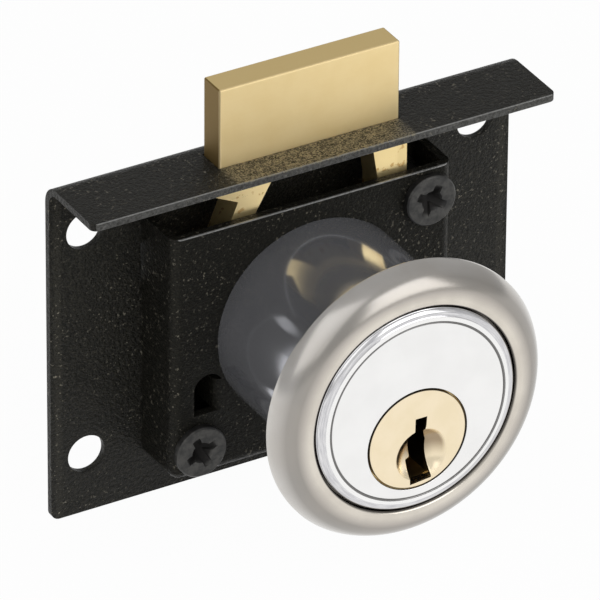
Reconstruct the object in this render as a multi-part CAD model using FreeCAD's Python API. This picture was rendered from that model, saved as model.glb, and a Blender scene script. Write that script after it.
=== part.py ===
import FreeCAD
import Part
import math
import os

# Desk drawer lock: a half-mortise deadbolt that a pin-tumbler cylinder drives through a cam.
# Millimetres. X runs to the right, Y to the back and Z up, with the keyhole facing -Y.
# The origin is the centre of the four wood-screw holes, on the rear face of the back plate.
# A depth is a distance forward from that rear face, so a depth d lies at y = -d.

# Back plate
plate_width = 68.3
plate_height = 50.8
hole_centre_height = 25.6
plate_sheet = 1.05
plate_corner_radius = 1.2
flange_depth = 12.7
flange_corner_radius = 1.0
flange_bend_radius = 3.0
wood_screw_hole_radius = 2.7
wood_screw_span_x = 57.9
wood_screw_span_z = 33.7

# Case cover
case_width = 41.5
case_sheet = 1.2
case_bottom = -19.5
case_top = 17.1
case_bend_radius = 1.6
case_tab_length = 6.0
case_tab_left_z = 9.6
case_tab_right_z = -10.4
guide_window_width = 4.3
guide_window_bottom = -10.1
guide_window_height = 5.8
guide_tab_length = 3.6
guide_tab_height = 4.6
guide_tab_bend = 0.95

# Screws that hold the cover on the plate
cover_screw_side_inset = 3.75
cover_screw_end_inset = 4.3
cover_screw_radius = 2.0
cover_screw_head_radius = 3.65
cover_screw_head_height = 1.05
cover_screw_head_bevel = 0.2
cover_screw_sink_radius = 3.0
cover_screw_sink_depth = 1.0
recess_wing_width = 1.15
recess_reach = 2.35
recess_middle_radius = 1.5
recess_tip_radius = 0.45
recess_depth = 1.9
recess_turn_upper = 28.0
recess_turn_lower = 66.0
collar_radius = 2.5
collar_height = 1.6

# Deadbolt
bolt_width = 26.5
bolt_thickness = 4.15
bolt_rear_depth = 3.95
bolt_throw = 11.4
bolt_edge_round = 0.25
bolt_ear_left = 1.7
bolt_ear_right = 1.25
bolt_ear_height = 2.45
bolt_waist_x = 10.5
bolt_waist_drop = 4.65
bolt_waist_height = 6.6
bolt_right_step_drop = 9.35
bolt_foot = -6.4
window_top_drop = 1.35
window_top_left = 4.7
window_top_right = 9.25
window_left = 9.0
window_right = 10.3
window_left_drop = 7.5
window_right_drop = 6.5
web_thickness = 2.0
web_height = 9.2
runner_height = 18.0

# Lock cylinder
barrel_z = 0.0
barrel_radius = 14.2
barrel_length = 25.0
sleeve_wall = 0.8
nose_length = 0.8
cap_overhang = 0.4
cap_rim_height = 1.0
cap_thickness = 1.0
cap_bevel_width = 1.67
cap_groove_width = 0.3
cap_groove_depth = 0.12
cap_bevel_crown = 0.12
spigot_radius = 8.4
cylinder_screw_x = 9.8
cylinder_screw_rise = 1.0
cylinder_screw_radius = 1.25
cylinder_screw_head_radius = 2.45
cylinder_screw_length = 6.0
cylinder_screw_slot = 0.6

# Rose ring
rose_radius = 19.85
rose_lip_length = 1.1
rose_depth_to_rim = 2.5
rose_rim_height = 0.6
rose_sheet = 1.0
rose_crest_width = 0.8
rose_crest_height = 1.35
rose_crown_height = 0.85
rose_mouth_play = 0.55
rose_mouth_round = 0.7

# Plug and cam
plug_drop = 4.2
plug_radius = 6.5
plug_head_radius = 7.05
plug_head_length = 1.3
plug_face_sink = 0.1
keyway_rear_wall = 3.2
keyway_left_side = [(-0.3, 3.05), (-0.35, 1.1), (-0.85, -0.4), (-0.35, -3.3), (-1.05, -3.45)]
keyway_right_side = [(1.4, 3.05), (1.3, 1.65), (1.1, 0.8), (1.85, -1.1), (1.9, -3.2)]
keyway_foot_left = -1.0
keyway_foot_right = 2.1
keyway_foot_wall = 0.4
keyway_foot_slope = 0.1
key_guide_radius = 3.75
key_guide_depth = 1.6
key_guide_x = 0.65
key_guide_drop = 2.5
drive_bar_width = 3.0
drive_bar_length = 9.0
drive_bar_height = 0.55
cam_radius = 7.6
crank_pin_radius = 1.25
cam_screw_radius = 1.5
cam_screw_head_radius = 2.75
cam_screw_length = 5.5
cam_screw_slot = 0.7

# Pin tumblers
chamber_pitch = 3.6
first_chamber_setback = 6.2
chamber_radius = 1.5
chamber_floor_drop = 1.0
pin_radius = 1.42
pin_end_chamfer = 0.35
key_pin_point = 0.85
key_pin_lengths = [4.2, 5.4, 4.8, 5.7, 4.5]
driver_pin_length = 4.0
spring_wire_radius = 0.18
spring_turns = 7

# Clearances
slide_gap = 0.1
bearing_gap = 0.05
cam_gap = 0.2
screw_gap = 0.03
press_gap = 0.02
rose_gap = 0.08
plug_mouth_gap = 0.28
pin_gap = 0.05
slot_end_gap = 0.15
tab_gap = 0.1

# How far a cutting shape runs past the surface that it opens
overrun = 1.0

# How near an edge lies to the plane that it is picked by
near = 0.01

# Places that follow from the sizes
plate_bottom = -hole_centre_height
flange_top = plate_bottom + plate_height
flange_under = flange_top - plate_sheet
bolt_front_depth = bolt_rear_depth + bolt_thickness
case_inner_depth = bolt_front_depth + slide_gap
case_depth = case_inner_depth + case_sheet
cover_screw_x = case_width / 2 - cover_screw_side_inset
cover_screw_upper_z = case_top - cover_screw_end_inset
cover_screw_lower_z = case_bottom + cover_screw_end_inset
bolt_top = flange_top + bolt_throw
shoulder_z = flange_under - slide_gap
barrel_front = case_depth + barrel_length
nose_front = barrel_front + nose_length
cap_front = nose_front + cap_thickness
face_depth = cap_front - plug_face_sink
body_radius = barrel_radius - sleeve_wall - press_gap
cap_radius = barrel_radius + cap_overhang
cap_bevel_radius = cap_radius - cap_bevel_width
rose_mouth_radius = barrel_radius + rose_mouth_play
rose_crest_radius = rose_mouth_radius + rose_crest_width
plug_z = barrel_z - plug_drop
keyway_rear = case_depth + keyway_rear_wall
web_front = bolt_rear_depth + web_thickness
cam_rear = web_front + cam_gap
cam_front = case_inner_depth - slide_gap
crank_radius = bolt_throw / 2
slot_z = plug_z + crank_radius
first_chamber = face_depth - first_chamber_setback
chamber_depths = [first_chamber - i * chamber_pitch for i in range(len(key_pin_lengths))]
key_pin_top = plug_z + math.sqrt(plug_radius ** 2 - pin_radius ** 2) - pin_gap
driver_pin_bottom = plug_z + plug_radius + bearing_gap + pin_gap
chamber_ceiling = barrel_z + math.sqrt((barrel_radius - sleeve_wall) ** 2 - pin_radius ** 2) - pin_gap

# The bolt moves at a steady ratio to the plug, so its crank pin runs ahead of it by at most this much
lead_angle = math.asin(2 / math.pi)
crank_lead = crank_radius * (math.cos(lead_angle) - 1 + 2 * lead_angle / math.pi)


def point(x, depth, z):
    """A point at a depth forward of the plate's rear face."""
    return FreeCAD.Vector(x, -depth, z)


def block(left, right, rear, front, bottom, top):
    """A box between two depths."""
    return Part.makeBox(right - left, front - rear, top - bottom, point(left, front, bottom))


def rod(radius, rear, front, x=0.0, z=0.0):
    """A round bar along Y between two depths."""
    return Part.makeCylinder(radius, front - rear, point(x, front, z), FreeCAD.Vector(0, 1, 0))


def taper(front_radius, rear_radius, rear, front, x=0.0, z=0.0):
    """A cone along Y between two depths."""
    along = FreeCAD.Vector(0, 1, 0)
    return Part.makeCone(front_radius, rear_radius, front - rear, point(x, front, z), along)


def sheet_of(outline, rear, front):
    """A flat piece with corners (x, z), between two depths."""
    corners = [point(x, rear, z) for x, z in outline]
    face = Part.Face(Part.makePolygon(corners + corners[:1]))
    return face.extrude(FreeCAD.Vector(0, rear - front, 0))


def turned(edges, x=0.0, z=0.0):
    """A turned piece about a Y axis, from edges drawn as (radius, depth)."""
    section = Part.Face(Part.Wire(edges))
    ring = section.revolve(FreeCAD.Vector(0, 0, 0), FreeCAD.Vector(0, 1, 0), 360)
    return ring.translated(point(x, 0, z))


def line(start, end):
    """A straight edge of a turned section, between two (radius, depth) points."""
    return Part.makeLine(point(start[0], start[1], 0), point(end[0], end[1], 0))


def arc(start, through, end):
    """A curved edge of a turned section, through three (radius, depth) points."""
    ends = [point(r, depth, 0) for r, depth in (start, through, end)]
    return Part.Arc(*ends).toShape()


def edges_along(shape, direction, keep):
    """Straight edges along a direction whose middle passes a test."""
    found = []
    for edge in shape.Edges:
        if edge.Curve.TypeId == "Part::GeomLine" and edge.Curve.Direction.cross(direction).Length < 1e-6:
            if keep(edge.CenterOfMass):
                found.append(edge)
    return found


def cross_recess(front, x, z, turn):
    """The recess that a cross-point screwdriver fits: four wings that slope in to a round middle."""
    rear = front - recess_depth
    outer = taper(recess_reach, recess_tip_radius, rear, front)
    recess = taper(recess_middle_radius, recess_tip_radius, rear, front)
    half = recess_wing_width / 2
    for angle in (turn, turn + 90):
        wings = block(-recess_reach, recess_reach, rear, front, -half, half).common(outer)
        wings.rotate(FreeCAD.Vector(0, 0, 0), FreeCAD.Vector(0, 1, 0), angle)
        recess = recess.fuse(wings)
    return recess.translated(point(x, 0, z))


def driver_slot(reach, size, rear, x, z):
    """A straight slot as deep as it is wide, in a head that faces the back."""
    ends = reach + overrun
    return block(x - ends, x + ends, rear - overrun, rear + size, z - size / 2, z + size / 2)


def save(name, shape):
    """Writes one piece, as a single clean solid."""
    solid = shape.removeSplitter()
    solid = solid.Solids[0] if len(solid.Solids) == 1 else solid
    state = "valid" if solid.isValid() else "BROKEN"
    print(name, len(solid.Solids), "solid", round(solid.Volume, 2), "mm3", state)
    solid.exportStep("parts/" + name + ".step")


def make_back_plate():
    """Folded plate: its upright part takes the wood screws, and the bolt leaves through its flange."""
    half = plate_width / 2
    upright = block(-half, half, 0, plate_sheet, plate_bottom, flange_top)
    flange = block(-half, half, 0, flange_depth, flange_under, flange_top)
    plate = upright.fuse(flange).removeSplitter()
    along_x = FreeCAD.Vector(1, 0, 0)
    outer_bend = edges_along(plate, along_x, lambda c: c.y > -near and c.z > flange_top - near)
    plate = plate.makeFillet(flange_bend_radius, outer_bend)
    inside = point(0, plate_sheet, flange_under)
    inner_bend = edges_along(plate, along_x, lambda c: math.hypot(c.y - inside.y, c.z - inside.z) < near)
    plate = plate.makeFillet(flange_bend_radius - plate_sheet, inner_bend)
    foot_corners = edges_along(plate, FreeCAD.Vector(0, 1, 0), lambda c: c.z < plate_bottom + near)
    plate = plate.makeFillet(plate_corner_radius, foot_corners)
    lip_corners = edges_along(plate, FreeCAD.Vector(0, 0, 1), lambda c: c.y < -flange_depth + near)
    plate = plate.makeFillet(flange_corner_radius, lip_corners)
    for x, z in ((cover_screw_x, cover_screw_upper_z), (-cover_screw_x, cover_screw_lower_z)):
        plate = plate.fuse(rod(collar_radius, plate_sheet / 2, plate_sheet + collar_height, x, z))
        plate = plate.cut(rod(cover_screw_radius + screw_gap, -overrun, flange_depth, x, z))
    for x in (-wood_screw_span_x / 2, wood_screw_span_x / 2):
        for z in (-wood_screw_span_z / 2, wood_screw_span_z / 2):
            plate = plate.cut(rod(wood_screw_hole_radius, -overrun, flange_depth, x, z))
    slot_half = bolt_width / 2 + slide_gap
    slot_rear = bolt_rear_depth - slide_gap
    slot_front = bolt_front_depth + slide_gap
    below = flange_under - overrun
    plate = plate.cut(block(-slot_half, slot_half, slot_rear, slot_front, below, flange_top + overrun))
    for wall, middle in ((-1, case_tab_left_z), (1, case_tab_right_z)):
        outer = wall * (case_width / 2 + tab_gap)
        inner = wall * (case_width / 2 - case_sheet - tab_gap)
        reach = case_tab_length / 2 + tab_gap
        left = min(outer, inner)
        width = case_sheet + 2 * tab_gap
        front = plate_sheet + overrun
        plate = plate.cut(block(left, left + width, -overrun, front, middle - reach, middle + reach))
    return plate


def make_case_cover():
    """Folded cover, open at the top, that boxes in the bolt and carries the cylinder."""
    half = case_width / 2
    outer = block(-half, half, plate_sheet, case_depth, case_bottom, case_top)
    front = -case_depth + near
    bends = edges_along(outer, FreeCAD.Vector(0, 0, 1), lambda c: c.y < front)
    bends += edges_along(outer, FreeCAD.Vector(1, 0, 0), lambda c: c.y < front and c.z < 0)
    bends += edges_along(outer, FreeCAD.Vector(0, 1, 0), lambda c: c.z < case_bottom + near)
    outer = outer.makeFillet(case_bend_radius, bends)
    inner_half = half - case_sheet
    floor = case_bottom + case_sheet
    hollow = block(-inner_half, inner_half, 0, case_inner_depth, floor, case_top + overrun)
    cover = outer.cut(hollow)
    for wall, middle in ((-1, case_tab_left_z), (1, case_tab_right_z)):
        left = min(wall * half, wall * inner_half)
        right = left + case_sheet
        low = middle - case_tab_length / 2
        cover = cover.fuse(block(left, right, 0, plate_sheet + overrun, low, low + case_tab_length))
    past_front = case_depth + overrun
    cover = cover.cut(rod(spigot_radius + press_gap, 0, past_front, 0, plug_z))
    for x, z in ((cover_screw_x, cover_screw_upper_z), (-cover_screw_x, cover_screw_lower_z)):
        cover = cover.cut(rod(cover_screw_radius + slide_gap, 0, past_front, x, z))
        mouth = cover_screw_sink_radius + screw_gap
        foot = cover_screw_radius + screw_gap
        cover = cover.cut(taper(mouth, foot, case_depth - cover_screw_sink_depth, case_depth, x, z))
    for x in (-cylinder_screw_x, cylinder_screw_x):
        mouth = cylinder_screw_head_radius + screw_gap
        foot = cylinder_screw_radius + screw_gap
        z = barrel_z + cylinder_screw_rise
        cover = cover.cut(taper(foot, mouth, case_inner_depth, case_depth, x, z))
    return add_guide_tabs(cover)


def add_guide_tabs(cover):
    """Cuts an arched window each side of the bolt's legs, and bends its metal inwards as a guide."""
    edge = bolt_width / 2 + slide_gap
    arch = guide_window_width / 2
    behind = case_inner_depth - overrun
    ahead = case_depth + overrun
    for side in (-1, 1):
        inner = side * edge
        outer = side * (edge + guide_window_width)
        left = min(inner, outer)
        spring_line = guide_window_bottom + guide_window_height - arch
        window = block(left, left + guide_window_width, behind, ahead, guide_window_bottom, spring_line)
        window = window.fuse(rod(arch, behind, ahead, left + arch, spring_line))
        cover = cover.cut(window)
        tab_left = min(inner, inner + side * case_sheet)
        tab = block(tab_left, tab_left + case_sheet, case_inner_depth - guide_tab_length, case_depth,
                    guide_window_bottom, guide_window_bottom + guide_tab_height)
        heel = edges_along(tab, FreeCAD.Vector(0, 0, 1),
                           lambda c: c.y < -case_depth + near and abs(c.x) > edge + case_sheet / 2)
        tab = tab.makeFillet(guide_tab_bend, heel)
        cover = cover.fuse(tab)
    return cover


def make_cover_screw(x, z, turn):
    """Low-headed machine screw with a cross recess, from the cover into the plate's threaded collar."""
    bevel = cover_screw_head_bevel
    head_front = case_depth + cover_screw_head_height
    screw = rod(cover_screw_head_radius, case_depth, head_front - bevel, x, z)
    top_radius = cover_screw_head_radius - bevel
    screw = screw.fuse(taper(top_radius, cover_screw_head_radius, head_front - bevel, head_front, x, z))
    sink = case_depth - cover_screw_sink_depth
    screw = screw.fuse(taper(cover_screw_sink_radius, cover_screw_radius, sink, case_depth, x, z))
    screw = screw.fuse(rod(cover_screw_radius, screw_gap, sink, x, z))
    return screw.cut(cross_recess(head_front, x, z, turn))


def make_bolt():
    """Brass deadbolt: a thick head, two stop ears, and two legs that straddle the cam."""
    half = bolt_width / 2
    ear_left = -half - bolt_ear_left
    ear_right = half + bolt_ear_right
    waist_z = shoulder_z - bolt_waist_drop
    outline = [
        (-half, bolt_top), (-half, shoulder_z), (ear_left, shoulder_z),
        (ear_left, shoulder_z - bolt_ear_height),
        (-bolt_waist_x, waist_z), (-half, waist_z - bolt_waist_height), (-half, bolt_foot),
        (-window_left, bolt_foot), (-window_left, shoulder_z - window_top_drop - window_left_drop),
        (-window_top_left, shoulder_z - window_top_drop), (window_top_right, shoulder_z - window_top_drop),
        (window_right, shoulder_z - window_top_drop - window_right_drop), (window_right, bolt_foot),
        (half, bolt_foot), (half, shoulder_z - bolt_right_step_drop - bolt_ear_right),
        (ear_right, shoulder_z - bolt_right_step_drop), (ear_right, shoulder_z), (half, shoulder_z),
        (half, bolt_top),
    ]
    bolt = sheet_of(outline, bolt_rear_depth, bolt_front_depth)
    web = block(-window_left - overrun, window_right + overrun, bolt_rear_depth, web_front,
                slot_z - web_height / 2, slot_z + web_height / 2)
    bolt = bolt.fuse(web)
    slot_half_height = crank_pin_radius + crank_lead + slide_gap
    slot_reach = crank_radius + crank_pin_radius + slot_end_gap
    slot = block(-slot_reach, slot_reach, bolt_rear_depth - overrun, web_front + overrun,
                 slot_z - slot_half_height, slot_z + slot_half_height)
    bolt = bolt.cut(slot)
    runner_rear = plate_sheet + slide_gap
    runner_top = bolt_foot + runner_height
    for left, right in ((-half, -window_left), (window_right, half)):
        bolt = bolt.fuse(block(left, right, runner_rear, bolt_rear_depth, bolt_foot, runner_top))
    bolt = bolt.removeSplitter()
    head_edges = edges_along(bolt, FreeCAD.Vector(0, 0, 1), lambda c: c.z > flange_top)
    head_edges += edges_along(bolt, FreeCAD.Vector(1, 0, 0), lambda c: c.z > bolt_top - near)
    head_edges += edges_along(bolt, FreeCAD.Vector(0, 1, 0), lambda c: c.z > bolt_top - near)
    return bolt.makeFillet(bolt_edge_round, head_edges)


def make_cylinder_body():
    """Brass core of the cylinder, bored for the plug and drilled for the pin stacks."""
    body = rod(body_radius, case_depth, nose_front, 0, barrel_z)
    body = body.fuse(rod(spigot_radius, case_inner_depth, case_depth, 0, plug_z))
    body = body.cut(rod(plug_radius + bearing_gap, 0, nose_front + overrun, 0, plug_z))
    counterbore = face_depth - plug_head_length - bearing_gap
    body = body.cut(rod(plug_head_radius + plug_mouth_gap, counterbore, nose_front + overrun, 0, plug_z))
    for depth in chamber_depths:
        body = body.cut(Part.makeCylinder(chamber_radius, 2 * barrel_radius, point(0, depth, plug_z)))
    for x in (-cylinder_screw_x, cylinder_screw_x):
        tip = case_depth + cylinder_screw_length + pin_gap
        body = body.cut(rod(cylinder_screw_radius + screw_gap, 0, tip, x, barrel_z + cylinder_screw_rise))
    return body


def make_cylinder_sleeve():
    """Plated tube over the brass core, which also closes the tops of the pin chambers."""
    tube = rod(barrel_radius, case_depth, barrel_front, 0, barrel_z)
    return tube.cut(rod(barrel_radius - sleeve_wall, 0, barrel_front + overrun, 0, barrel_z))


def make_cylinder_screw(x):
    """Small countersunk screw from inside the case into the rear of the cylinder."""
    z = barrel_z + cylinder_screw_rise
    screw = taper(cylinder_screw_radius, cylinder_screw_head_radius, case_inner_depth, case_depth, x, z)
    screw = screw.fuse(rod(cylinder_screw_radius, case_depth, case_depth + cylinder_screw_length, x, z))
    return screw.cut(driver_slot(cylinder_screw_head_radius, cylinder_screw_slot, case_inner_depth, x, z))


def make_face_cap():
    """Bright cap on the cylinder's nose, with a bevelled rim, a fine groove and a hole for the plug."""
    inner = body_radius + press_gap
    rim_front = barrel_front + cap_rim_height
    groove_inner = cap_bevel_radius - cap_groove_width
    groove_floor = cap_front - cap_groove_depth
    middle = ((cap_radius + cap_bevel_radius) / 2, (rim_front + cap_front) / 2 + cap_bevel_crown)
    edges = [
        line((0, nose_front), (inner, nose_front)),
        line((inner, nose_front), (inner, barrel_front)),
        line((inner, barrel_front), (cap_radius, barrel_front)),
        line((cap_radius, barrel_front), (cap_radius, rim_front)),
        arc((cap_radius, rim_front), middle, (cap_bevel_radius, cap_front)),
        line((cap_bevel_radius, cap_front), (cap_bevel_radius, groove_floor)),
        line((cap_bevel_radius, groove_floor), (groove_inner, groove_floor)),
        line((groove_inner, groove_floor), (groove_inner, face_depth)),
        line((groove_inner, face_depth), (0, face_depth)),
        line((0, face_depth), (0, nose_front)),
    ]
    cap = turned(edges, 0, barrel_z)
    return cap.cut(rod(plug_head_radius + plug_mouth_gap, 0, cap_front + overrun, 0, plug_z))


def make_rose_ring():
    """Domed ring that hides the hole in the drawer front. It slides on the barrel, behind the cap."""
    bore = barrel_radius + rose_gap
    lip_front = barrel_front - bearing_gap
    lip_rear = lip_front - rose_lip_length
    rim_rear = barrel_front - rose_depth_to_rim
    rim_front = rim_rear + rose_rim_height
    crest = barrel_front + rose_crest_height
    mouth_edge = (rose_mouth_radius, crest - rose_mouth_round)
    crest_start = (rose_crest_radius, crest)
    corner = 1 - math.sqrt(0.5)
    mouth_width = rose_crest_radius - rose_mouth_radius
    mouth_mid = (rose_mouth_radius + corner * mouth_width, crest - corner * rose_mouth_round)
    run = rose_radius - rose_crest_radius
    rise = crest - rim_front
    slant = math.hypot(run, rise)
    out = rise / slant
    forward = run / slant
    crown_r = rose_crown_height * out
    crown_depth = rose_crown_height * forward
    outer_mid = (rose_radius - run / 2 + crown_r, rim_front + rise / 2 + crown_depth)
    inner_rim = (rose_radius - rose_sheet, rim_rear)
    inner_root = (rose_mouth_radius + rose_sheet, lip_rear)
    inner_mid = (outer_mid[0] - rose_sheet * out, outer_mid[1] - rose_sheet * forward)
    edges = [
        line((bore, lip_rear), inner_root),
        arc(inner_root, inner_mid, inner_rim),
        line(inner_rim, (rose_radius, rim_rear)),
        line((rose_radius, rim_rear), (rose_radius, rim_front)),
        arc((rose_radius, rim_front), outer_mid, crest_start),
        arc(crest_start, mouth_mid, mouth_edge),
        line(mouth_edge, (rose_mouth_radius, lip_front)),
        line((rose_mouth_radius, lip_front), (bore, lip_front)),
        line((bore, lip_front), (bore, lip_rear)),
    ]
    return turned(edges, 0, barrel_z)


def make_plug():
    """Brass plug with its keyway, key guide, pin chambers and the bar that turns the cam."""
    rear = cam_front + bearing_gap
    plug = rod(plug_radius, rear, face_depth, 0, plug_z)
    plug = plug.fuse(rod(plug_head_radius, face_depth - plug_head_length, face_depth, 0, plug_z))
    bar = block(-drive_bar_length / 2, drive_bar_length / 2, rear - drive_bar_height, rear,
                plug_z - drive_bar_width / 2, plug_z + drive_bar_width / 2)
    plug = plug.fuse(bar)
    for depth in chamber_depths:
        floor = plug_z - chamber_floor_drop
        plug = plug.cut(Part.makeCylinder(chamber_radius, plug_radius * 2, point(0, depth, floor)))
    foot = keyway_foot_wall - plug_head_radius
    foot_rise = keyway_foot_slope * (keyway_foot_right - keyway_foot_left)
    foot_corners = [(keyway_foot_left, foot), (keyway_foot_right, foot + foot_rise)]
    warded = keyway_left_side + foot_corners + keyway_right_side[::-1]
    keyway = sheet_of([(x, plug_z + z) for x, z in warded], keyway_rear, face_depth + overrun)
    plug = plug.cut(keyway)
    ball = (key_guide_radius ** 2 + key_guide_depth ** 2) / (2 * key_guide_depth)
    ball_centre = point(key_guide_x, face_depth - key_guide_depth + ball, plug_z - key_guide_drop)
    plug = plug.cut(Part.makeSphere(ball, ball_centre))
    tip = cam_rear + cam_screw_length + pin_gap
    return plug.cut(rod(cam_screw_radius + screw_gap, 0, tip, 0, plug_z))


def make_cam_disc():
    """Steel disc on the plug's rear end. It keeps the plug in and carries the crank pin."""
    disc = rod(cam_radius, cam_rear, cam_front, 0, plug_z)
    reach = drive_bar_length / 2 + bearing_gap
    half = drive_bar_width / 2 + bearing_gap
    past = cam_front + overrun
    disc = disc.cut(block(-reach, reach, cam_front - drive_bar_height, past, plug_z - half, plug_z + half))
    disc = disc.cut(rod(cam_screw_radius + screw_gap, 0, past, 0, plug_z))
    sink_front = cam_rear + cam_screw_head_radius - cam_screw_radius
    mouth = cam_screw_head_radius + screw_gap
    disc = disc.cut(taper(cam_screw_radius + screw_gap, mouth, cam_rear, sink_front, 0, plug_z))
    return disc.cut(rod(crank_pin_radius, 0, past, 0, slot_z))


def make_cam_pin():
    """Crank pin riveted in the cam, which runs in the cross slot of the bolt."""
    return rod(crank_pin_radius, bolt_rear_depth + slide_gap, cam_front, 0, slot_z)


def make_cam_screw():
    """Countersunk screw that clamps the cam on the plug."""
    sink_front = cam_rear + cam_screw_head_radius - cam_screw_radius
    screw = taper(cam_screw_radius, cam_screw_head_radius, cam_rear, sink_front, 0, plug_z)
    screw = screw.fuse(rod(cam_screw_radius, sink_front, cam_rear + cam_screw_length, 0, plug_z))
    return screw.cut(driver_slot(cam_screw_head_radius, cam_screw_slot, cam_rear, 0, plug_z))


def make_pin(bottom, top, depth, pointed):
    """A tumbler pin: flat with broken edges at the shear line, pointed where it meets the key."""
    tip = key_pin_point if pointed else pin_end_chamfer
    straight = top - bottom - tip - pin_end_chamfer
    pin = Part.makeCylinder(pin_radius, straight, point(0, depth, bottom + tip))
    pin = pin.fuse(Part.makeCone(pin_radius - tip, pin_radius, tip, point(0, depth, bottom)))
    crown_foot = point(0, depth, top - pin_end_chamfer)
    return pin.fuse(Part.makeCone(pin_radius, pin_radius - pin_end_chamfer, pin_end_chamfer, crown_foot))


def make_spring(bottom, top, depth):
    """A coil spring between a driver pin and the sleeve."""
    height = top - bottom - 2 * spring_wire_radius
    coil_radius = pin_radius - spring_wire_radius
    helix = Part.makeHelix(height / spring_turns, height, coil_radius)
    start = FreeCAD.Vector(coil_radius, 0, 0)
    wire_section = Part.Wire(Part.makeCircle(spring_wire_radius, start, FreeCAD.Vector(0, 1, 0)))
    coil = Part.Wire(helix.Edges).makePipeShell([wire_section], True, True)
    return coil.translated(point(0, depth, bottom + spring_wire_radius))


os.makedirs("parts", exist_ok=True)
save("back_plate", make_back_plate())
save("case_cover", make_case_cover())
save("cover_screw_upper", make_cover_screw(cover_screw_x, cover_screw_upper_z, recess_turn_upper))
save("cover_screw_lower", make_cover_screw(-cover_screw_x, cover_screw_lower_z, recess_turn_lower))
save("bolt", make_bolt())
save("cylinder_body", make_cylinder_body())
save("cylinder_sleeve", make_cylinder_sleeve())
save("cylinder_screw_left", make_cylinder_screw(-cylinder_screw_x))
save("cylinder_screw_right", make_cylinder_screw(cylinder_screw_x))
save("face_cap", make_face_cap())
save("rose_ring", make_rose_ring())
save("plug", make_plug())
save("cam_disc", make_cam_disc())
save("cam_pin", make_cam_pin())
save("cam_screw", make_cam_screw())
for number, (depth, length) in enumerate(zip(chamber_depths, key_pin_lengths), start=1):
    driver_top = driver_pin_bottom + driver_pin_length
    save("key_pin_" + str(number), make_pin(key_pin_top - length, key_pin_top, depth, True))
    save("driver_pin_" + str(number), make_pin(driver_pin_bottom, driver_top, depth, False))
    save("driver_spring_" + str(number), make_spring(driver_top, chamber_ceiling, depth))
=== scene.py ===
import math

import bmesh
import bpy
import numpy as np
from mathutils import Matrix, Vector


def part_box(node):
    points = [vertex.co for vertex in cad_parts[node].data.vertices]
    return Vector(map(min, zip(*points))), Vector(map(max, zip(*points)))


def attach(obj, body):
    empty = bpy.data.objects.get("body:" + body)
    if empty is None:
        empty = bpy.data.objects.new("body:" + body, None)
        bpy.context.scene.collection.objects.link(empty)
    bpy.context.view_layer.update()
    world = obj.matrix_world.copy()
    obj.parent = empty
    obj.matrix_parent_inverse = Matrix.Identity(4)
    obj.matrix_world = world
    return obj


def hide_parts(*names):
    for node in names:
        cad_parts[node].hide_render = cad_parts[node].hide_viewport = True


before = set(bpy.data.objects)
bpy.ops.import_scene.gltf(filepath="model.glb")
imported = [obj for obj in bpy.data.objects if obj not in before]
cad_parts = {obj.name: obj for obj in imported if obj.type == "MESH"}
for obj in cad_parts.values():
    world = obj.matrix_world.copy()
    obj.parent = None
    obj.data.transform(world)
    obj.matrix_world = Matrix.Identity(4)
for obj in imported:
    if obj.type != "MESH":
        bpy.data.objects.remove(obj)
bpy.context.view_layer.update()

# The place where the lock stands: white paper under the plate's lower edge, soft lamps and a pale
# wall in front of it, a dimmer room behind, and a camera that looks down on the keyhole from its left.


class Wire:
    """One output of a node, on which ordinary arithmetic can be written."""

    def __init__(self, tree, socket=None):
        self.tree = tree
        self.socket = socket

    def node(self, kind, settings=None, sockets=None, output=0):
        """Adds a node: first its settings or a ramp's stops, and then the values or wires of its sockets."""
        made = self.tree.nodes.new(kind)
        for name, value in (settings or {}).items():
            if name == "stops":
                band = made.color_ramp.elements
                while len(band) < len(value):
                    band.new(0.5)
                for stop, (place, shade) in zip(band, value):
                    stop.position = place
                    stop.color = shade
            else:
                setattr(made, name, value)
        for name, value in (sockets or {}).items():
            if isinstance(value, Wire):
                self.tree.links.new(value.socket, made.inputs[name])
            else:
                made.inputs[name].default_value = value
        return Wire(self.tree, made.outputs[output] if made.outputs else None)

    def maths(self, operation, first, second=0.0):
        return self.node("ShaderNodeMath", {"operation": operation}, {0: first, 1: second})

    def __add__(self, other):
        return self.maths("ADD", self, other)

    def __radd__(self, other):
        return self.maths("ADD", other, self)

    def __sub__(self, other):
        return self.maths("SUBTRACT", self, other)

    def __rsub__(self, other):
        return self.maths("SUBTRACT", other, self)

    def __mul__(self, other):
        return self.maths("MULTIPLY", self, other)

    def __rmul__(self, other):
        return self.maths("MULTIPLY", other, self)

    def __truediv__(self, other):
        return self.maths("DIVIDE", self, other)

    def __pow__(self, other):
        return self.maths("POWER", self, other)

    def __abs__(self):
        return self.maths("ABSOLUTE", self)

    def least(self, other):
        return self.maths("MINIMUM", self, other)

    def most(self, other):
        return self.maths("MAXIMUM", self, other)

    def step(self, low, high):
        """0 at low and 1 at high, with a smooth rise between them, where low may be the larger of the two."""
        turned = {0: self, 1: min(low, high), 2: max(low, high), 3: float(low > high), 4: float(high > low)}
        return self.node("ShaderNodeMapRange", {"interpolation_type": "SMOOTHSTEP"}, turned)

    def shades(self, first, second):
        """A colour between two others: the first where the wire is 0, and the second where it is 1. Sockets 6
        and 7 of the mix node, and its output 2, are those for colours."""
        return self.node("ShaderNodeMix", {"data_type": "RGBA"}, {0: self, 6: first, 7: second}, 2)


def rgb(red, green, blue):
    return (red, green, blue, 1.0)


def shown_rays(wire):
    """Two wires: 1 for what the camera sees straight, and 1 for what it sees in a mirror or through glass."""
    names = ("Is Camera Ray", "Is Glossy Ray", "Is Transmission Ray")
    camera_ray, glossy_ray, clear_ray = (wire.node("ShaderNodeLightPath", output=name) for name in names)
    return camera_ray, glossy_ray.most(clear_ray)


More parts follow.
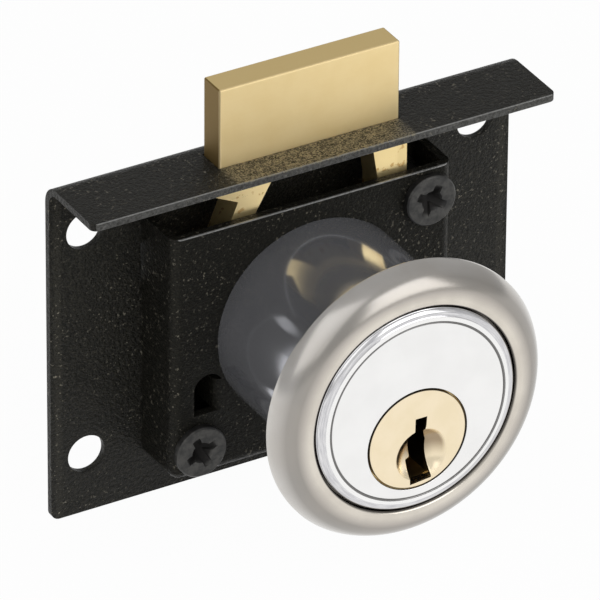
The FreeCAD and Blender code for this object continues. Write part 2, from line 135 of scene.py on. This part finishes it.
floor_gap = 0.0001
floor_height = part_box("back_plate")[0].z - floor_gap
floor_reach = 3.0
floor_whiteness = 0.97
paper_white = rgb(0.88, 0.88, 0.88)
pure_white = rgb(1, 1, 1)
wall_end = 0.2
wall_full = -0.75
room_light = 0.3
wall_light = 0.3
room_mirrored = 0.5
wall_mirrored = 0.2
lamps = {
    "lamp_right": {"place": (0.42, -0.98, 0.55), "size": 0.8, "power": 3.6},
    "lamp_left": {"place": (-0.70, -0.60, 0.75), "size": 1.1, "power": 2.4},
}
view_side = math.radians(-30.03)
view_rise = math.radians(31.45)
view_roll = math.radians(0.44)
view_target = Vector((-0.00235, -0.010, 0.00336))
view_distance = 1.16798
view_lens = 543.4

corners = np.array([(-1, -1), (1, -1), (1, 1), (-1, 1)]) * floor_reach
sheet = bpy.data.meshes.new("floor")
points = np.column_stack([corners, np.full(len(corners), floor_height)])
sheet.from_pydata(points.tolist(), [], [range(len(corners))])
floor = bpy.data.objects.new("floor", sheet)
bpy.context.scene.collection.objects.link(floor)
paper = bpy.data.materials.new("white_paper")
paper.use_nodes = True
paper.node_tree.nodes.clear()
wire = Wire(paper.node_tree)
straight, mirrored = shown_rays(wire)
lit_paper = wire.node("ShaderNodeBsdfDiffuse", sockets={"Color": paper_white})
plain_white = wire.node("ShaderNodeEmission", sockets={"Color": pure_white, "Strength": 1.0})
white_share = (straight * floor_whiteness).most(mirrored)
mixed = wire.node("ShaderNodeMixShader", sockets={0: white_share, 1: lit_paper, 2: plain_white})
wire.node("ShaderNodeOutputMaterial", sockets={"Surface": mixed})
floor.data.materials.append(paper)

world = bpy.data.worlds.new("studio")
bpy.context.scene.world = world
world.use_nodes = True
world.node_tree.nodes.clear()
wire = Wire(world.node_tree)
straight, mirrored = shown_rays(wire)
facing = wire.node("ShaderNodeTexCoord", output="Generated")
rearward = wire.node("ShaderNodeSeparateXYZ", sockets={0: facing}, output=1)
wall = rearward.step(wall_end, wall_full)
in_mirrors = mirrored * (wall * wall_mirrored + room_mirrored)
strength = straight.most(in_mirrors).most(wall * wall_light + room_light)
air = wire.node("ShaderNodeBackground", sockets={"Color": pure_white, "Strength": strength})
wire.node("ShaderNodeOutputWorld", sockets={"Surface": air})

for name, lamp in lamps.items():
    light = bpy.data.lights.new(name, "AREA")
    light.energy = lamp["power"]
    light.size = lamp["size"]
    holder = bpy.data.objects.new(name, light)
    holder.location = lamp["place"]
    holder.rotation_euler = (-Vector(lamp["place"])).to_track_quat("-Z", "Y").to_euler()
    bpy.context.scene.collection.objects.link(holder)

back = Vector((math.sin(view_side) * math.cos(view_rise),
               -math.cos(view_side) * math.cos(view_rise),
               math.sin(view_rise)))
right = Vector((math.cos(view_side), math.sin(view_side), 0))
up = back.cross(right)
rolled_right = right * math.cos(view_roll) + up * math.sin(view_roll)
rolled_up = up * math.cos(view_roll) - right * math.sin(view_roll)
camera = bpy.data.objects.new("camera", bpy.data.cameras.new("camera"))
camera.data.lens = view_lens
camera.data.sensor_width = 36.0
camera.data.clip_start = 0.05
camera.data.clip_end = 20.0
turn = Matrix((rolled_right, rolled_up, back)).transposed().to_4x4()
camera.matrix_world = Matrix.Translation(view_target + back * view_distance) @ turn
bpy.context.scene.collection.objects.link(camera)
bpy.context.scene.camera = camera
bpy.context.scene.view_settings.view_transform = "Standard"

# Back plate: 1 mm steel, cut and folded once along its top, with four wood-screw holes, and
# powder-coated black. Its front edge is rubbed down to the metal.

weld_gap = 0.000002
flat_turn = math.radians(0.2)
sharp_turn = math.radians(30.0)


def merged(node, name, rounding, material):
    """A copy of a CAD piece with its triangles joined, its flats kept flat and its sharp edges rounded."""
    shell = bmesh.new()
    shell.from_mesh(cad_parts[node].data)
    bmesh.ops.remove_doubles(shell, verts=shell.verts, dist=weld_gap)
    bmesh.ops.dissolve_limit(shell, angle_limit=flat_turn, verts=shell.verts, edges=shell.edges)
    mesh = bpy.data.meshes.new(name)
    shell.to_mesh(mesh)
    shell.free()
    mesh.polygons.foreach_set("use_smooth", np.ones(len(mesh.polygons), bool))
    mesh.materials.append(material)
    piece = bpy.data.objects.new(name, mesh)
    bpy.context.scene.collection.objects.link(piece)
    bevel = piece.modifiers.new("rounded_edges", "BEVEL")
    bevel.width = rounding
    bevel.segments = 2
    bevel.limit_method = "ANGLE"
    bevel.angle_limit = sharp_turn
    bevel.use_clamp_overlap = True
    flats = piece.modifiers.new("flats_kept_flat", "WEIGHTED_NORMAL")
    flats.mode = "FACE_AREA"
    flats.weight = 100
    flats.keep_sharp = True
    return piece


def new_finish(name):
    """An empty material, and the place on the piece as a wire, from which its nodes start."""
    material = bpy.data.materials.new(name)
    material.use_nodes = True
    material.node_tree.nodes.clear()
    return material, Wire(material.node_tree).node("ShaderNodeTexCoord", output="Object")


def surface(colour, roughness, metallic, relief=None, depth=0.0, gloss=0.5):
    """The metal or paint itself, with a relief whose depth is in metres. The gloss is how much it mirrors."""
    sockets = {"Base Color": colour, "Roughness": roughness, "Metallic": metallic}
    sockets["Specular IOR Level"] = gloss
    if relief is not None:
        bump = {"Strength": 1.0, "Distance": depth, "Height": relief}
        sockets["Normal"] = colour.node("ShaderNodeBump", sockets=bump)
    shader = colour.node("ShaderNodeBsdfPrincipled", sockets=sockets)
    colour.node("ShaderNodeOutputMaterial", sockets={"Surface": shader})


def noise(place, size, detail=3.0, rough=0.6, stretch=(1, 1, 1)):
    """Soft noise from 0 to 1, whose lumps are about as large as size in metres, or longer where stretched."""
    scale = tuple(1 / (size * part) for part in stretch)
    shrunk = place.node("ShaderNodeMapping", sockets={"Vector": place, "Scale": scale})
    lumps = {"Vector": shrunk, "Scale": 1.0, "Detail": detail, "Roughness": rough}
    return place.node("ShaderNodeTexNoise", sockets=lumps)


def along(place):
    """The three coordinates of a place, as wires."""
    parted = place.node("ShaderNodeSeparateXYZ", sockets={0: place})
    return tuple(Wire(place.tree, outlet) for outlet in parted.socket.node.outputs)


def apart(first, second, at_first, at_second):
    """The distance from a line along the third axis, which crosses the other two at the given places."""
    return ((first - at_first) ** 2.0 + (second - at_second) ** 2.0) ** 0.5


def near_line(first, second, at_first, at_second, reach):
    """1 on a line along the third axis, and 0 further from it than a reach."""
    return apart(first, second, at_first, at_second).step(reach, reach * 0.35)


coat_black = rgb(0.006, 0.006, 0.005)
coat_brown = rgb(0.034, 0.032, 0.025)
coat_glint = rgb(0.310, 0.285, 0.225)
coat_brass_reflection = rgb(0.29, 0.262, 0.188)
coat_relief = 0.00024
bare_steel = rgb(0.38, 0.38, 0.37)


def black_coat(name, rubbed, tone, gloss):
    """Powder coat: nearly black with an orange-peel skin, and pale specks in patches that are painted glints
    of its bumps. Grey metal shows where it is rubbed bare, first at the edge and then in chips, and it is
    paler where it is scuffed and where a painted highlight lies along a bend. Golden flakes in it, where the
    third mask allows, are a painted reflection of the brass bolt. The tone scales its brown."""
    material, place = new_finish(name)
    peel = noise(place, size=0.00055, detail=2.0, rough=0.5)
    grit = noise(place, size=0.00024)
    clouds = noise(place, size=0.009, rough=0.55)
    glint_noise = noise(place, size=0.0005, detail=4.0, rough=0.62)
    chips = noise(place, size=0.00045, detail=4.0, rough=0.7)
    bare, scuffs_and_sheen, brass_reflection_zone = rubbed(*along(place))
    # The golden flakes are a painted reflection of the brass bolt in the coat in front of it.
    painted_reflection_flakes = (glint_noise * 0.4 + grit * 0.6).step(0.43, 0.60) * brass_reflection_zone
    # The pale specks are painted glints of the orange-peel bumps; there are more of them on scuffs and on the
    # painted highlight of the bends.
    painted_glint_specks = glint_noise.step(0.60, 0.66) * (clouds.step(0.40, 0.64) * 0.8 + 0.2 + scuffs_and_sheen * 0.6)
    worn = (bare * 1.6 + chips * 0.9 - 0.9).most(0.0).least(1.0)
    # Scuffs, and the painted highlight on the cover's bends, make the coat browner.
    browned = (grit.step(0.35, 0.7) * 0.9 + peel * 0.2 + scuffs_and_sheen * 0.5) * tone
    colour = browned.shades(coat_black, coat_brown)
    colour = (painted_glint_specks * 0.6).shades(colour, coat_glint)
    colour = (worn * 0.8).shades(colour, bare_steel)
    colour = painted_reflection_flakes.shades(colour, coat_brass_reflection)
    roughness = 0.33 - painted_glint_specks * 0.06 + (clouds - 0.5) * 0.12
    metallic = (worn * 0.6).most(painted_reflection_flakes * 0.7)
    surface(colour, roughness, metallic, peel + grit * 0.7, coat_relief, gloss)
    return material


plate_low, plate_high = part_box("back_plate")
plate_sheet = 0.00105
plate_half = plate_high.x
flange_front = plate_low.y
flange_top = plate_high.z
flange_underside = flange_top - plate_sheet
scuff_inset = 0.0011
sheet_rounding = 0.00012
bolt_half = 0.01325
bolt_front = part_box("bolt")[0].y


def plate_rub(x, y, z):
    """Bare on the sheared front edge of the flange and its two corners, scuffed beside the upright edges, and
    with a painted reflection of the brass bolt on the flange in front of it."""
    sheared_and_top_shade = y.step(flange_front + 0.0002, flange_front + 0.00008) * 0.42
    upper = near_line(y, z, flange_front, flange_top, reach=0.00022) * 0.75
    lower = near_line(y, z, flange_front, flange_underside, reach=0.00018) * 0.5
    on_plate = y.step(-plate_sheet - 0.00045, -plate_sheet - 0.00015)
    scuffs_and_sheen = abs(abs(x) - (plate_half - scuff_inset)).step(0.0008, 0.0002) * on_plate
    beside_bolt = abs(x).step(bolt_half + 0.0003, bolt_half - 0.0007)
    before_bolt = y.step(bolt_front + 0.0002, bolt_front - 0.0002)
    on_flange = z.step(flange_top - 0.0003, flange_top - 0.0001)
    return sheared_and_top_shade.most(upper).most(lower), scuffs_and_sheen, beside_bolt * before_bolt * on_flange


plate_coat = black_coat("plate_coat", plate_rub, tone=0.9, gloss=0.13)
plate = merged("back_plate", "folded_plate", sheet_rounding, plate_coat)
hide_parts("back_plate")
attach(plate, "case")

# Case cover: 1.2 mm steel folded to a box that is open at the top, coated like the plate. The
# bright edge along its open side shows the sheet's bare metal.

cover_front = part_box("case_cover")[0].y
cover_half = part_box("case_cover")[1].x
cover_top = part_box("case_cover")[1].z
bend_inset = 0.00045
bend_depth = 0.0004


def cover_rub(x, y, z):
    """Bare along the front corner of the open edge, with a painted highlight on the two long bends, and with
    no painted reflection of the brass.
    """
    lip = near_line(y, z, cover_front, cover_top, reach=0.0003)
    # A painted highlight runs along the two long bends.
    bend_sheen = near_line(abs(x), y, cover_half - bend_inset, cover_front + bend_depth, reach=0.0009) * 0.6
    return lip, bend_sheen, 0.0


cover_coat = black_coat("cover_coat", cover_rub, tone=0.6, gloss=0.06)
cover = merged("case_cover", "boxed_cover", sheet_rounding, cover_coat)
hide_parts("case_cover")
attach(cover, "case")

# Cover screws: two low-headed machine screws of blackened steel with a cross recess, through the
# cover into the threaded collars of the plate.

screw_grey = rgb(0.085, 0.083, 0.078)
screw_shadow = rgb(0.04, 0.04, 0.039)
recess_painted_shade = rgb(0.006, 0.005, 0.004)
screw_radius = 0.00365
screw_rounding = 0.00007
screw_relief = 0.000006
upper_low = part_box("cover_screw_upper")[0]
lower_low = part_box("cover_screw_lower")[0]
recess_mouth = 0.0031
recess_edge = 0.0029
screw_material, place = new_finish("blackened_steel")
scuffs = noise(place, size=0.0009)
grain = noise(place, size=0.00012, detail=2.0, rough=0.5)
x, y, z = along(place)
from_upper = apart(x, z, upper_low.x + screw_radius, upper_low.z + screw_radius)
from_lower = apart(x, z, lower_low.x + screw_radius, lower_low.z + screw_radius)
# The cross recess is painted nearly black: painted shade.
recess_shade = from_upper.least(from_lower).step(recess_mouth, recess_edge)
recess_shade = recess_shade * y.step(upper_low.y + 0.0001, upper_low.y + 0.0005)
colour = scuffs.step(0.3, 0.7).shades(screw_shadow, screw_grey)
colour = (recess_shade * 0.9).shades(colour, recess_painted_shade)
surface(colour, 0.34 + scuffs * 0.2 + recess_shade * 0.3, 0.75 - recess_shade * 0.6, grain, screw_relief)
for node in ("cover_screw_upper", "cover_screw_lower"):
    screw = merged(node, node + "_head", screw_rounding, screw_material)
    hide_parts(node)
    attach(screw, "case")

# Deadbolt: a block of drawn brass, milled to a head with two legs. It is satin on its faces and gouged at
# its legs. Its top and its sides carry painted shade, its front edges a painted highlight and its legs
# painted light. It slides up through the slot in the flange.

brass_light = rgb(0.98, 0.80, 0.45)
brass_deep = rgb(0.90, 0.70, 0.34)
brass_edge_highlight = rgb(0.92, 0.78, 0.50)
brass_top_shade = rgb(0.80, 0.62, 0.29)
brass_side_shade = rgb(0.17, 0.10, 0.018)
brass_gouge = rgb(0.58, 0.32, 0.09)
brass_painted_leg_light = rgb(0.95, 0.75, 0.37)
bolt_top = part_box("bolt")[1].z
bolt_rounding = 0.00006
edge_inset = 0.0001
edge_reach = 0.0003
brass_relief = 0.000003
bolt_material, place = new_finish("satin_brass")
x, y, z = along(place)
drawn = noise(place, size=0.00012, stretch=(60, 1, 1))
stain = noise(place, size=0.004, rough=0.55)
# The top face is painted a darker brass: painted shade.
sheared_and_top_shade = z.step(bolt_top - 0.0002, bolt_top - 0.00008)
# The bolt's sides are painted dark brown: painted shade, for the dark flange that they mirror.
side_shade = abs(x).step(bolt_half - 0.00022, bolt_half - 0.0001)
# A paler line along the front edges is a painted highlight.
side_edge = near_line(abs(x), y, bolt_half - edge_inset, bolt_front + edge_inset, edge_reach)
top_edge = near_line(y, z, bolt_front + edge_inset, bolt_top - edge_inset, edge_reach)
edge_highlight = side_edge.most(top_edge)
# Below the flange the legs are painted a brighter gold: painted light on legs that sit in the flange's shade.
# The gouges mark them too.
legs_painted_light = z.step(flange_underside, flange_underside - 0.0004)
gouges = noise(place, size=0.0016).step(0.61, 0.66) * legs_painted_light
colour = (stain.step(0.3, 0.75) * 0.4 + drawn * 0.12).shades(brass_light, brass_deep)
colour = (sheared_and_top_shade * 0.8).shades(colour, brass_top_shade)
colour = (side_shade * 0.9).shades(colour, brass_side_shade)
colour = (edge_highlight * 0.35).shades(colour, brass_edge_highlight)
colour = (legs_painted_light * 0.9).shades(colour, brass_painted_leg_light)
colour = (gouges * 0.7).shades(colour, brass_gouge)
roughness = 0.54 + drawn * 0.08 + edge_highlight * 0.05 - legs_painted_light * 0.29
surface(colour, roughness, metallic=0.90, relief=drawn + gouges * 3.0, depth=brass_relief)
bolt = merged("bolt", "brass_deadbolt", bolt_rounding, bolt_material)
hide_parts("bolt")
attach(bolt, "bolt")

# Cylinder: a brass core in a plated sleeve, held to the cover by two screws from inside. The core
# and the screws are hidden, so they stay as they are and only get their metal.


def bare_metal(name, light, deep, roughness, lines):
    """Turned or drawn metal: two shades of it, in soft patches and in fine lines of the given size."""
    material, place = new_finish(name)
    patches = noise(place, size=0.002, rough=0.55)
    tool = noise(place, size=lines, detail=2.0, rough=0.5, stretch=(8, 1, 8))
    colour = (patches.step(0.3, 0.7) * 0.7 + tool * 0.3).shades(light, deep)
    surface(colour, roughness + tool * 0.12, metallic=1.0, relief=tool, depth=lines * 0.03)
    return material


def dress(material, *nodes):
    """Gives CAD pieces their finish."""
    for node in nodes:
        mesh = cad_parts[node].data
        mesh.materials.clear()
        mesh.materials.append(material)


tool_lines = 0.00012
turned_brass = bare_metal("turned_brass", rgb(0.76, 0.58, 0.29), rgb(0.60, 0.43, 0.19), 0.24, tool_lines)
plain_steel = bare_metal("plain_steel", rgb(0.56, 0.56, 0.55), rgb(0.42, 0.42, 0.41), 0.3, tool_lines)
dress(turned_brass, "cylinder_body")
dress(plain_steel, "cylinder_screw_left", "cylinder_screw_right")

ring_turns = 256


def ringed(name, rings, material, body):
    """A closed skin through rings that face the front. Each ring has the height of its centre, a radius and
    a depth; at angle a its point is x = radius cos a, y = -depth, z = height + radius sin a."""
    height, radius, depth = np.asarray(rings, float).T
    if np.sum(radius * np.roll(depth, -1) - np.roll(radius, -1) * depth) < 0:
        height, radius, depth = height[::-1], radius[::-1], depth[::-1]
    angle = np.linspace(0, 2 * math.pi, ring_turns, endpoint=False)[:, None]
    points = np.stack([radius * np.cos(angle), -depth + 0 * angle, height + radius * np.sin(angle)], -1)
    count = len(radius)
    row, column = np.meshgrid(np.arange(ring_turns), np.arange(count), indexing="ij")
    next_row = (row + 1) % ring_turns
    next_column = (column + 1) % count
    faces = np.stack([row * count + column, next_row * count + column,
                      next_row * count + next_column, row * count + next_column], -1)
    mesh = bpy.data.meshes.new(name)
    mesh.from_pydata(points.reshape(-1, 3).tolist(), [], faces.reshape(-1, 4).tolist())
    mesh.polygons.foreach_set("use_smooth", np.ones(len(mesh.polygons), bool))
    mesh.materials.append(material)
    piece = bpy.data.objects.new(name, mesh)
    bpy.context.scene.collection.objects.link(piece)
    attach(piece, body)
    return piece


def at_height(height, points):
    """Rings for the points of a section, each a radius and a depth, round an axis at the given height."""
    return np.column_stack([np.full(len(points), height), points])


def curl(start, at, end, steps):
    """A curve that leaves its start towards a corner and comes to its end from there:
    (1-t)(1-t) start + 2t(1-t) corner + t t end."""
    start, at, end = (np.asarray(point, float) for point in (start, at, end))
    t = np.linspace(0, 1, steps)[:, None]
    return (1 - t) ** 2 * start + 2 * t * (1 - t) * at + t ** 2 * end


corner_steps = 5
corner_hold = 1.4


def corner(before, at, after, size):
    """A rounded corner of a section, a curl that starts and ends a size away from it along both sides. A
    point just outside each end keeps the flats flat."""
    before, at, after = (np.asarray(point, float) for point in (before, at, after))
    back_along = (before - at) / np.linalg.norm(before - at)
    onward = (after - at) / np.linalg.norm(after - at)
    bend = curl(at + size * back_along, at, at + size * onward, corner_steps)
    return np.vstack([at + corner_hold * size * back_along, bend, at + corner_hold * size * onward])


sleeve_low, sleeve_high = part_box("cylinder_sleeve")
barrel_height = (sleeve_low.z + sleeve_high.z) / 2
barrel_rear = -sleeve_high.y
barrel_front = -sleeve_low.y
sleeve_wall = 0.0008
sleeve_outer = sleeve_high.x
sleeve_inner = sleeve_outer - sleeve_wall
fine_round = 0.00006
sleeve_light = rgb(0.53, 0.535, 0.57)
sleeve_deep = rgb(0.495, 0.50, 0.535)
sleeve_material, place = new_finish("dark_nickel")
smears = noise(place, size=0.005, rough=0.55)
haze = noise(place, size=0.0011)
colour = smears.step(0.35, 0.7).shades(sleeve_light, sleeve_deep)
surface(colour, 0.09 + smears * 0.03 + haze * 0.02, metallic=0.75)
wall_corners = [(sleeve_outer, barrel_rear), (sleeve_outer, barrel_front),
                (sleeve_inner, barrel_front), (sleeve_inner, barrel_rear)]
earlier = wall_corners[-1:] + wall_corners[:-1]
later = wall_corners[1:] + wall_corners[:1]
tube = np.vstack([corner(*three, fine_round) for three in zip(earlier, wall_corners, later)])
sleeve = ringed("nickel_sleeve", at_height(barrel_height, tube), sleeve_material, "case")
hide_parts("cylinder_sleeve")

# Face cap: pressed from plated brass and fitted over the cylinder's nose, with a polished bevel,
# a fine groove inside it, a satin face, and a hole for the plug that sits low.

plug_low, plug_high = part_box("plug")
plug_radius = plug_high.x
plug_height = plug_high.z - plug_radius
face_depth = -plug_low.y
cap_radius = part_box("face_cap")[1].x
cap_front = -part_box("face_cap")[0].y
cap_rim_front = barrel_front + 0.001
cap_rear = barrel_front + 0.0008
bevel_radius = cap_radius - 0.00167
groove_radius = bevel_radius - 0.0003
groove_floor = cap_front - 0.00016
hole_radius = plug_radius + 0.00028
skirt_radius = sleeve_inner + 0.00002
ridge = (bevel_radius + 0.00055, cap_front - 0.00012)
cap_light = rgb(0.93, 0.925, 0.915)
cap_deep = rgb(0.89, 0.885, 0.875)
cap_turned_reflection = rgb(0.52, 0.515, 0.54)
cap_painted_shade = rgb(0.05, 0.045, 0.042)
cap_relief = 0.000003
line_run = 0.0012


def bow(start, end, rise, steps):
    """A bowed line: start + t (end - start) + 4t(1-t) rise times the normal on its left."""
    start, end = np.asarray(start, float), np.asarray(end, float)
    along_it = end - start
    normal = np.array([-along_it[1], along_it[0]]) / np.linalg.norm(along_it)
    t = np.linspace(0, 1, steps)[:, None]
    return start + t * along_it + 4 * t * (1 - t) * rise * normal


cap_material, place = new_finish("satin_chrome")
x, y, z = along(place)
from_axis = apart(x, z, 0.0, barrel_height)
from_plug = apart(x, z, 0.0, plug_height)
polished = from_axis.step(bevel_radius - 0.00035, bevel_radius - 0.00015)
in_groove = from_axis.step(groove_radius - 0.00008, groove_radius + 0.00004)
in_groove = in_groove * from_axis.step(bevel_radius + 0.00006, bevel_radius - 0.00006)
hole_wall = from_plug.step(hole_radius + 0.00005, hole_radius + 0.00001)
hole_wall = hole_wall * z.step(plug_height - 0.0065, plug_height - 0.003)
# The fine groove and the upper wall of the plug's hole are painted dark: painted shade in the groove and in
# the gap round the plug.
groove_and_gap_shade = in_groove.most(hole_wall)
round_axis = {0: from_axis, 1: x / from_axis * line_run, 2: z / from_axis * line_run}
turned_lines = noise(place.node("ShaderNodeCombineXYZ", sockets=round_axis), size=0.0002)
slope = from_axis.step(ridge[0] - 0.00004, ridge[0] + 0.00004)
satin = noise(place, size=0.0001)
cast = noise(place, size=0.006, rough=0.5)
colour = cast.step(0.3, 0.7).shades(cap_light, cap_deep)
# The grey band on the outer slope is a painted reflection, broken by real turned lines.
colour = (slope * (turned_lines.step(0.3, 0.7) * 0.5 + 0.4)).shades(colour, cap_turned_reflection)
colour = (groove_and_gap_shade * 0.85).shades(colour, cap_painted_shade)
relief = satin * (1 - polished) + turned_lines * slope * 0.6
surface(colour, 0.30 - polished * 0.2 + satin * 0.06, 1.0 - groove_and_gap_shade * 0.4, relief, cap_relief)
face_edge = (groove_radius, face_depth)
groove_inner = (groove_radius, groove_floor)
groove_outer = (bevel_radius, groove_floor)
bevel_top = (bevel_radius, cap_front)
rim_front = (cap_radius, cap_rim_front)
rim_rear = (cap_radius, barrel_front)
skirt_front = (skirt_radius, barrel_front)
dome_start = (ridge[0] + 0.0002, ridge[1] - 0.00012)
dome_end = (cap_radius - 0.00012, cap_rim_front + 0.00014)
outside = np.vstack([
    corner((hole_radius, face_depth), face_edge, groove_inner, size=0.00003),
    [groove_inner, groove_outer],
    corner(groove_outer, bevel_top, ridge, size=0.00008),
    corner(bevel_top, ridge, rim_front, size=0.0001),
    bow(dome_start, dome_end, rise=0.0001, steps=24),
    corner(ridge, rim_front, rim_rear, size=0.00015),
    corner(rim_front, rim_rear, skirt_front, fine_round),
    [skirt_front, (skirt_radius, cap_rear)]])
hole = np.vstack([
    [(hole_radius, cap_rear)],
    corner((hole_radius, cap_rear), (hole_radius, face_depth), face_edge, size=0.00008)])
rings = np.vstack([at_height(plug_height, hole), at_height(barrel_height, outside)])
cap = ringed("chrome_face_cap", rings, cap_material, "case")
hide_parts("face_cap")

# Rose ring: a domed ring of nickel-plated sheet, loose on the barrel behind the cap, that hides
# the edge of the hole in the drawer front.

rose_low, rose_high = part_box("rose_ring")
rose_radius = rose_high.x
rose_rim_rear = -rose_high.y
rose_rim_front = rose_rim_rear + 0.0006
rose_crest = -rose_low.y
rose_mouth_radius = sleeve_outer + 0.00055
rose_mouth_round = 0.0007
rose_crest_radius = rose_mouth_radius + 0.0008
rose_bore = sleeve_outer + 0.00008
rose_lip_front = barrel_front - 0.00005
rose_lip_rear = rose_lip_front - 0.0011
rose_sheet = 0.001
rose_crown = 0.00085
rose_hollow = 0.00143
rose_relief = 0.000002
rose_haze = rgb(0.42, 0.385, 0.345)
rose_mouth_shade = rgb(0.04, 0.036, 0.032)
rose_reflection_bands = [(0.04, rgb(0.74, 0.69, 0.61)), (0.22, rgb(0.56, 0.52, 0.47)), (0.42, rgb(0.34, 0.32, 0.293)),
               (0.68, rgb(0.35, 0.333, 0.31)), (0.84, rgb(0.50, 0.48, 0.455)), (1.0, rgb(0.62, 0.60, 0.57))]
rose_material, place = new_finish("bright_nickel")
breath = noise(place, size=0.006, rough=0.55)
fine_grain = noise(place, size=0.00022)
x, y, z = along(place)
from_axis = apart(x, z, 0.0, barrel_height)
# The rose's colour runs in rings, pale by the mouth, darker in the middle and paler at the rim: a painted
# reflection, with haze patches over it.
outward = (from_axis - rose_crest_radius) / (rose_radius - rose_crest_radius)
painted_reflection = place.node("ShaderNodeValToRGB", {"stops": rose_reflection_bands}, {0: outward})
# The rose is painted dark at its mouth: painted shade in the gap round the barrel.
mouth_shade = from_axis.step(rose_mouth_radius + 0.00035, rose_mouth_radius + 0.00012)
colour = (breath.step(0.3, 0.7) * 0.3).shades(painted_reflection, rose_haze)
colour = (mouth_shade * 0.85).shades(colour, rose_mouth_shade)
surface(colour, 0.17 + fine_grain * 0.08, metallic=1.0, relief=fine_grain, depth=rose_relief)
lip_front = (rose_mouth_radius, rose_lip_front)
bore_front = (rose_bore, rose_lip_front)
bore_rear = (rose_bore, rose_lip_rear)
hollow_root = (rose_mouth_radius + rose_sheet, rose_lip_rear)
hollow_rim = (rose_radius - rose_sheet, rose_rim_rear)
rim_rear = (rose_radius, rose_rim_rear)
rim_front = (rose_radius, rose_rim_front)
crest = (rose_crest_radius, rose_crest)
mouth_corner = (rose_mouth_radius, rose_crest)
mouth_edge = (rose_mouth_radius, rose_crest - rose_mouth_round)
skin = np.vstack([
    corner(lip_front, bore_front, bore_rear, fine_round),
    corner(bore_front, bore_rear, hollow_root, fine_round),
    bow(hollow_root, hollow_rim, rose_hollow, steps=16),
    corner(hollow_rim, rim_rear, rim_front, fine_round),
    bow(rim_front, crest, -rose_crown, steps=40),
    curl((rose_crest_radius - 0.00005, rose_crest), mouth_corner, mouth_edge, steps=12),
    corner(mouth_corner, lip_front, bore_front, fine_round)])
rose = ringed("nickel_rose", at_height(barrel_height, skin), rose_material, "rose")
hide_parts("rose_ring")

# Plug: pale satin brass, with a warded keyway and a round funnel that leads the key in. It turns
# in the core and carries the cam at its rear end.

plug_light = rgb(0.95, 0.82, 0.60)
plug_deep = rgb(0.87, 0.74, 0.50)
plug_shade = rgb(0.27, 0.19, 0.115)
plug_keyway_shade = rgb(0.15, 0.125, 0.09)
plug_side_shade = rgb(0.03, 0.024, 0.016)
plug_rounding = 0.00005
plug_material, place = new_finish("pale_brass")
x, y, z = along(place)
funnel = y.step(0.00002 - face_depth, 0.0005 - face_depth)
# Deep in the keyway the brass is painted dark: painted shade.
keyway_shade = y.step(0.0009 - face_depth, 0.0022 - face_depth)
shaded = funnel * z.step(plug_height - 0.0042, plug_height - 0.0012)
# The plug's side is painted nearly black: painted shade in the gap between the plug and the cap.
side_gap_shade = apart(x, z, 0.0, plug_height).step(plug_radius - 0.00006, plug_radius - 0.00001)
ground = noise(place, size=0.0001)
tarnish = noise(place, size=0.003, rough=0.55)
colour = (tarnish.step(0.3, 0.75) * 0.5 + ground * 0.2).shades(plug_light, plug_deep)
colour = (shaded * 0.85).shades(colour, plug_shade)
colour = (keyway_shade * 0.9).shades(colour, plug_keyway_shade)
colour = (side_gap_shade * 0.9).shades(colour, plug_side_shade)
surface(colour, 0.27 + ground * 0.1 - funnel * 0.12, 1.0 - side_gap_shade * 0.4, ground, brass_relief)
plug = merged("plug", "brass_plug", plug_rounding, plug_material)
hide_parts("plug")
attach(plug, "plug")

# Cam, crank pin and cam screw: plain steel behind the plug, inside the case, where the pin runs
# in the bolt's cross slot.

dress(plain_steel, "cam_disc", "cam_pin", "cam_screw")

# Pin tumblers: five turned brass key pins in the plug, five driver pins above them, and a coil
# of drawn steel wire over each.

wire_lines = 0.00005
spring_steel = bare_metal("spring_wire", rgb(0.62, 0.60, 0.57), rgb(0.46, 0.45, 0.43), 0.22, wire_lines)
for number in range(1, 6):
    dress(turned_brass, "key_pin_%d" % number, "driver_pin_%d" % number)
    dress(spring_steel, "driver_spring_%d" % number)
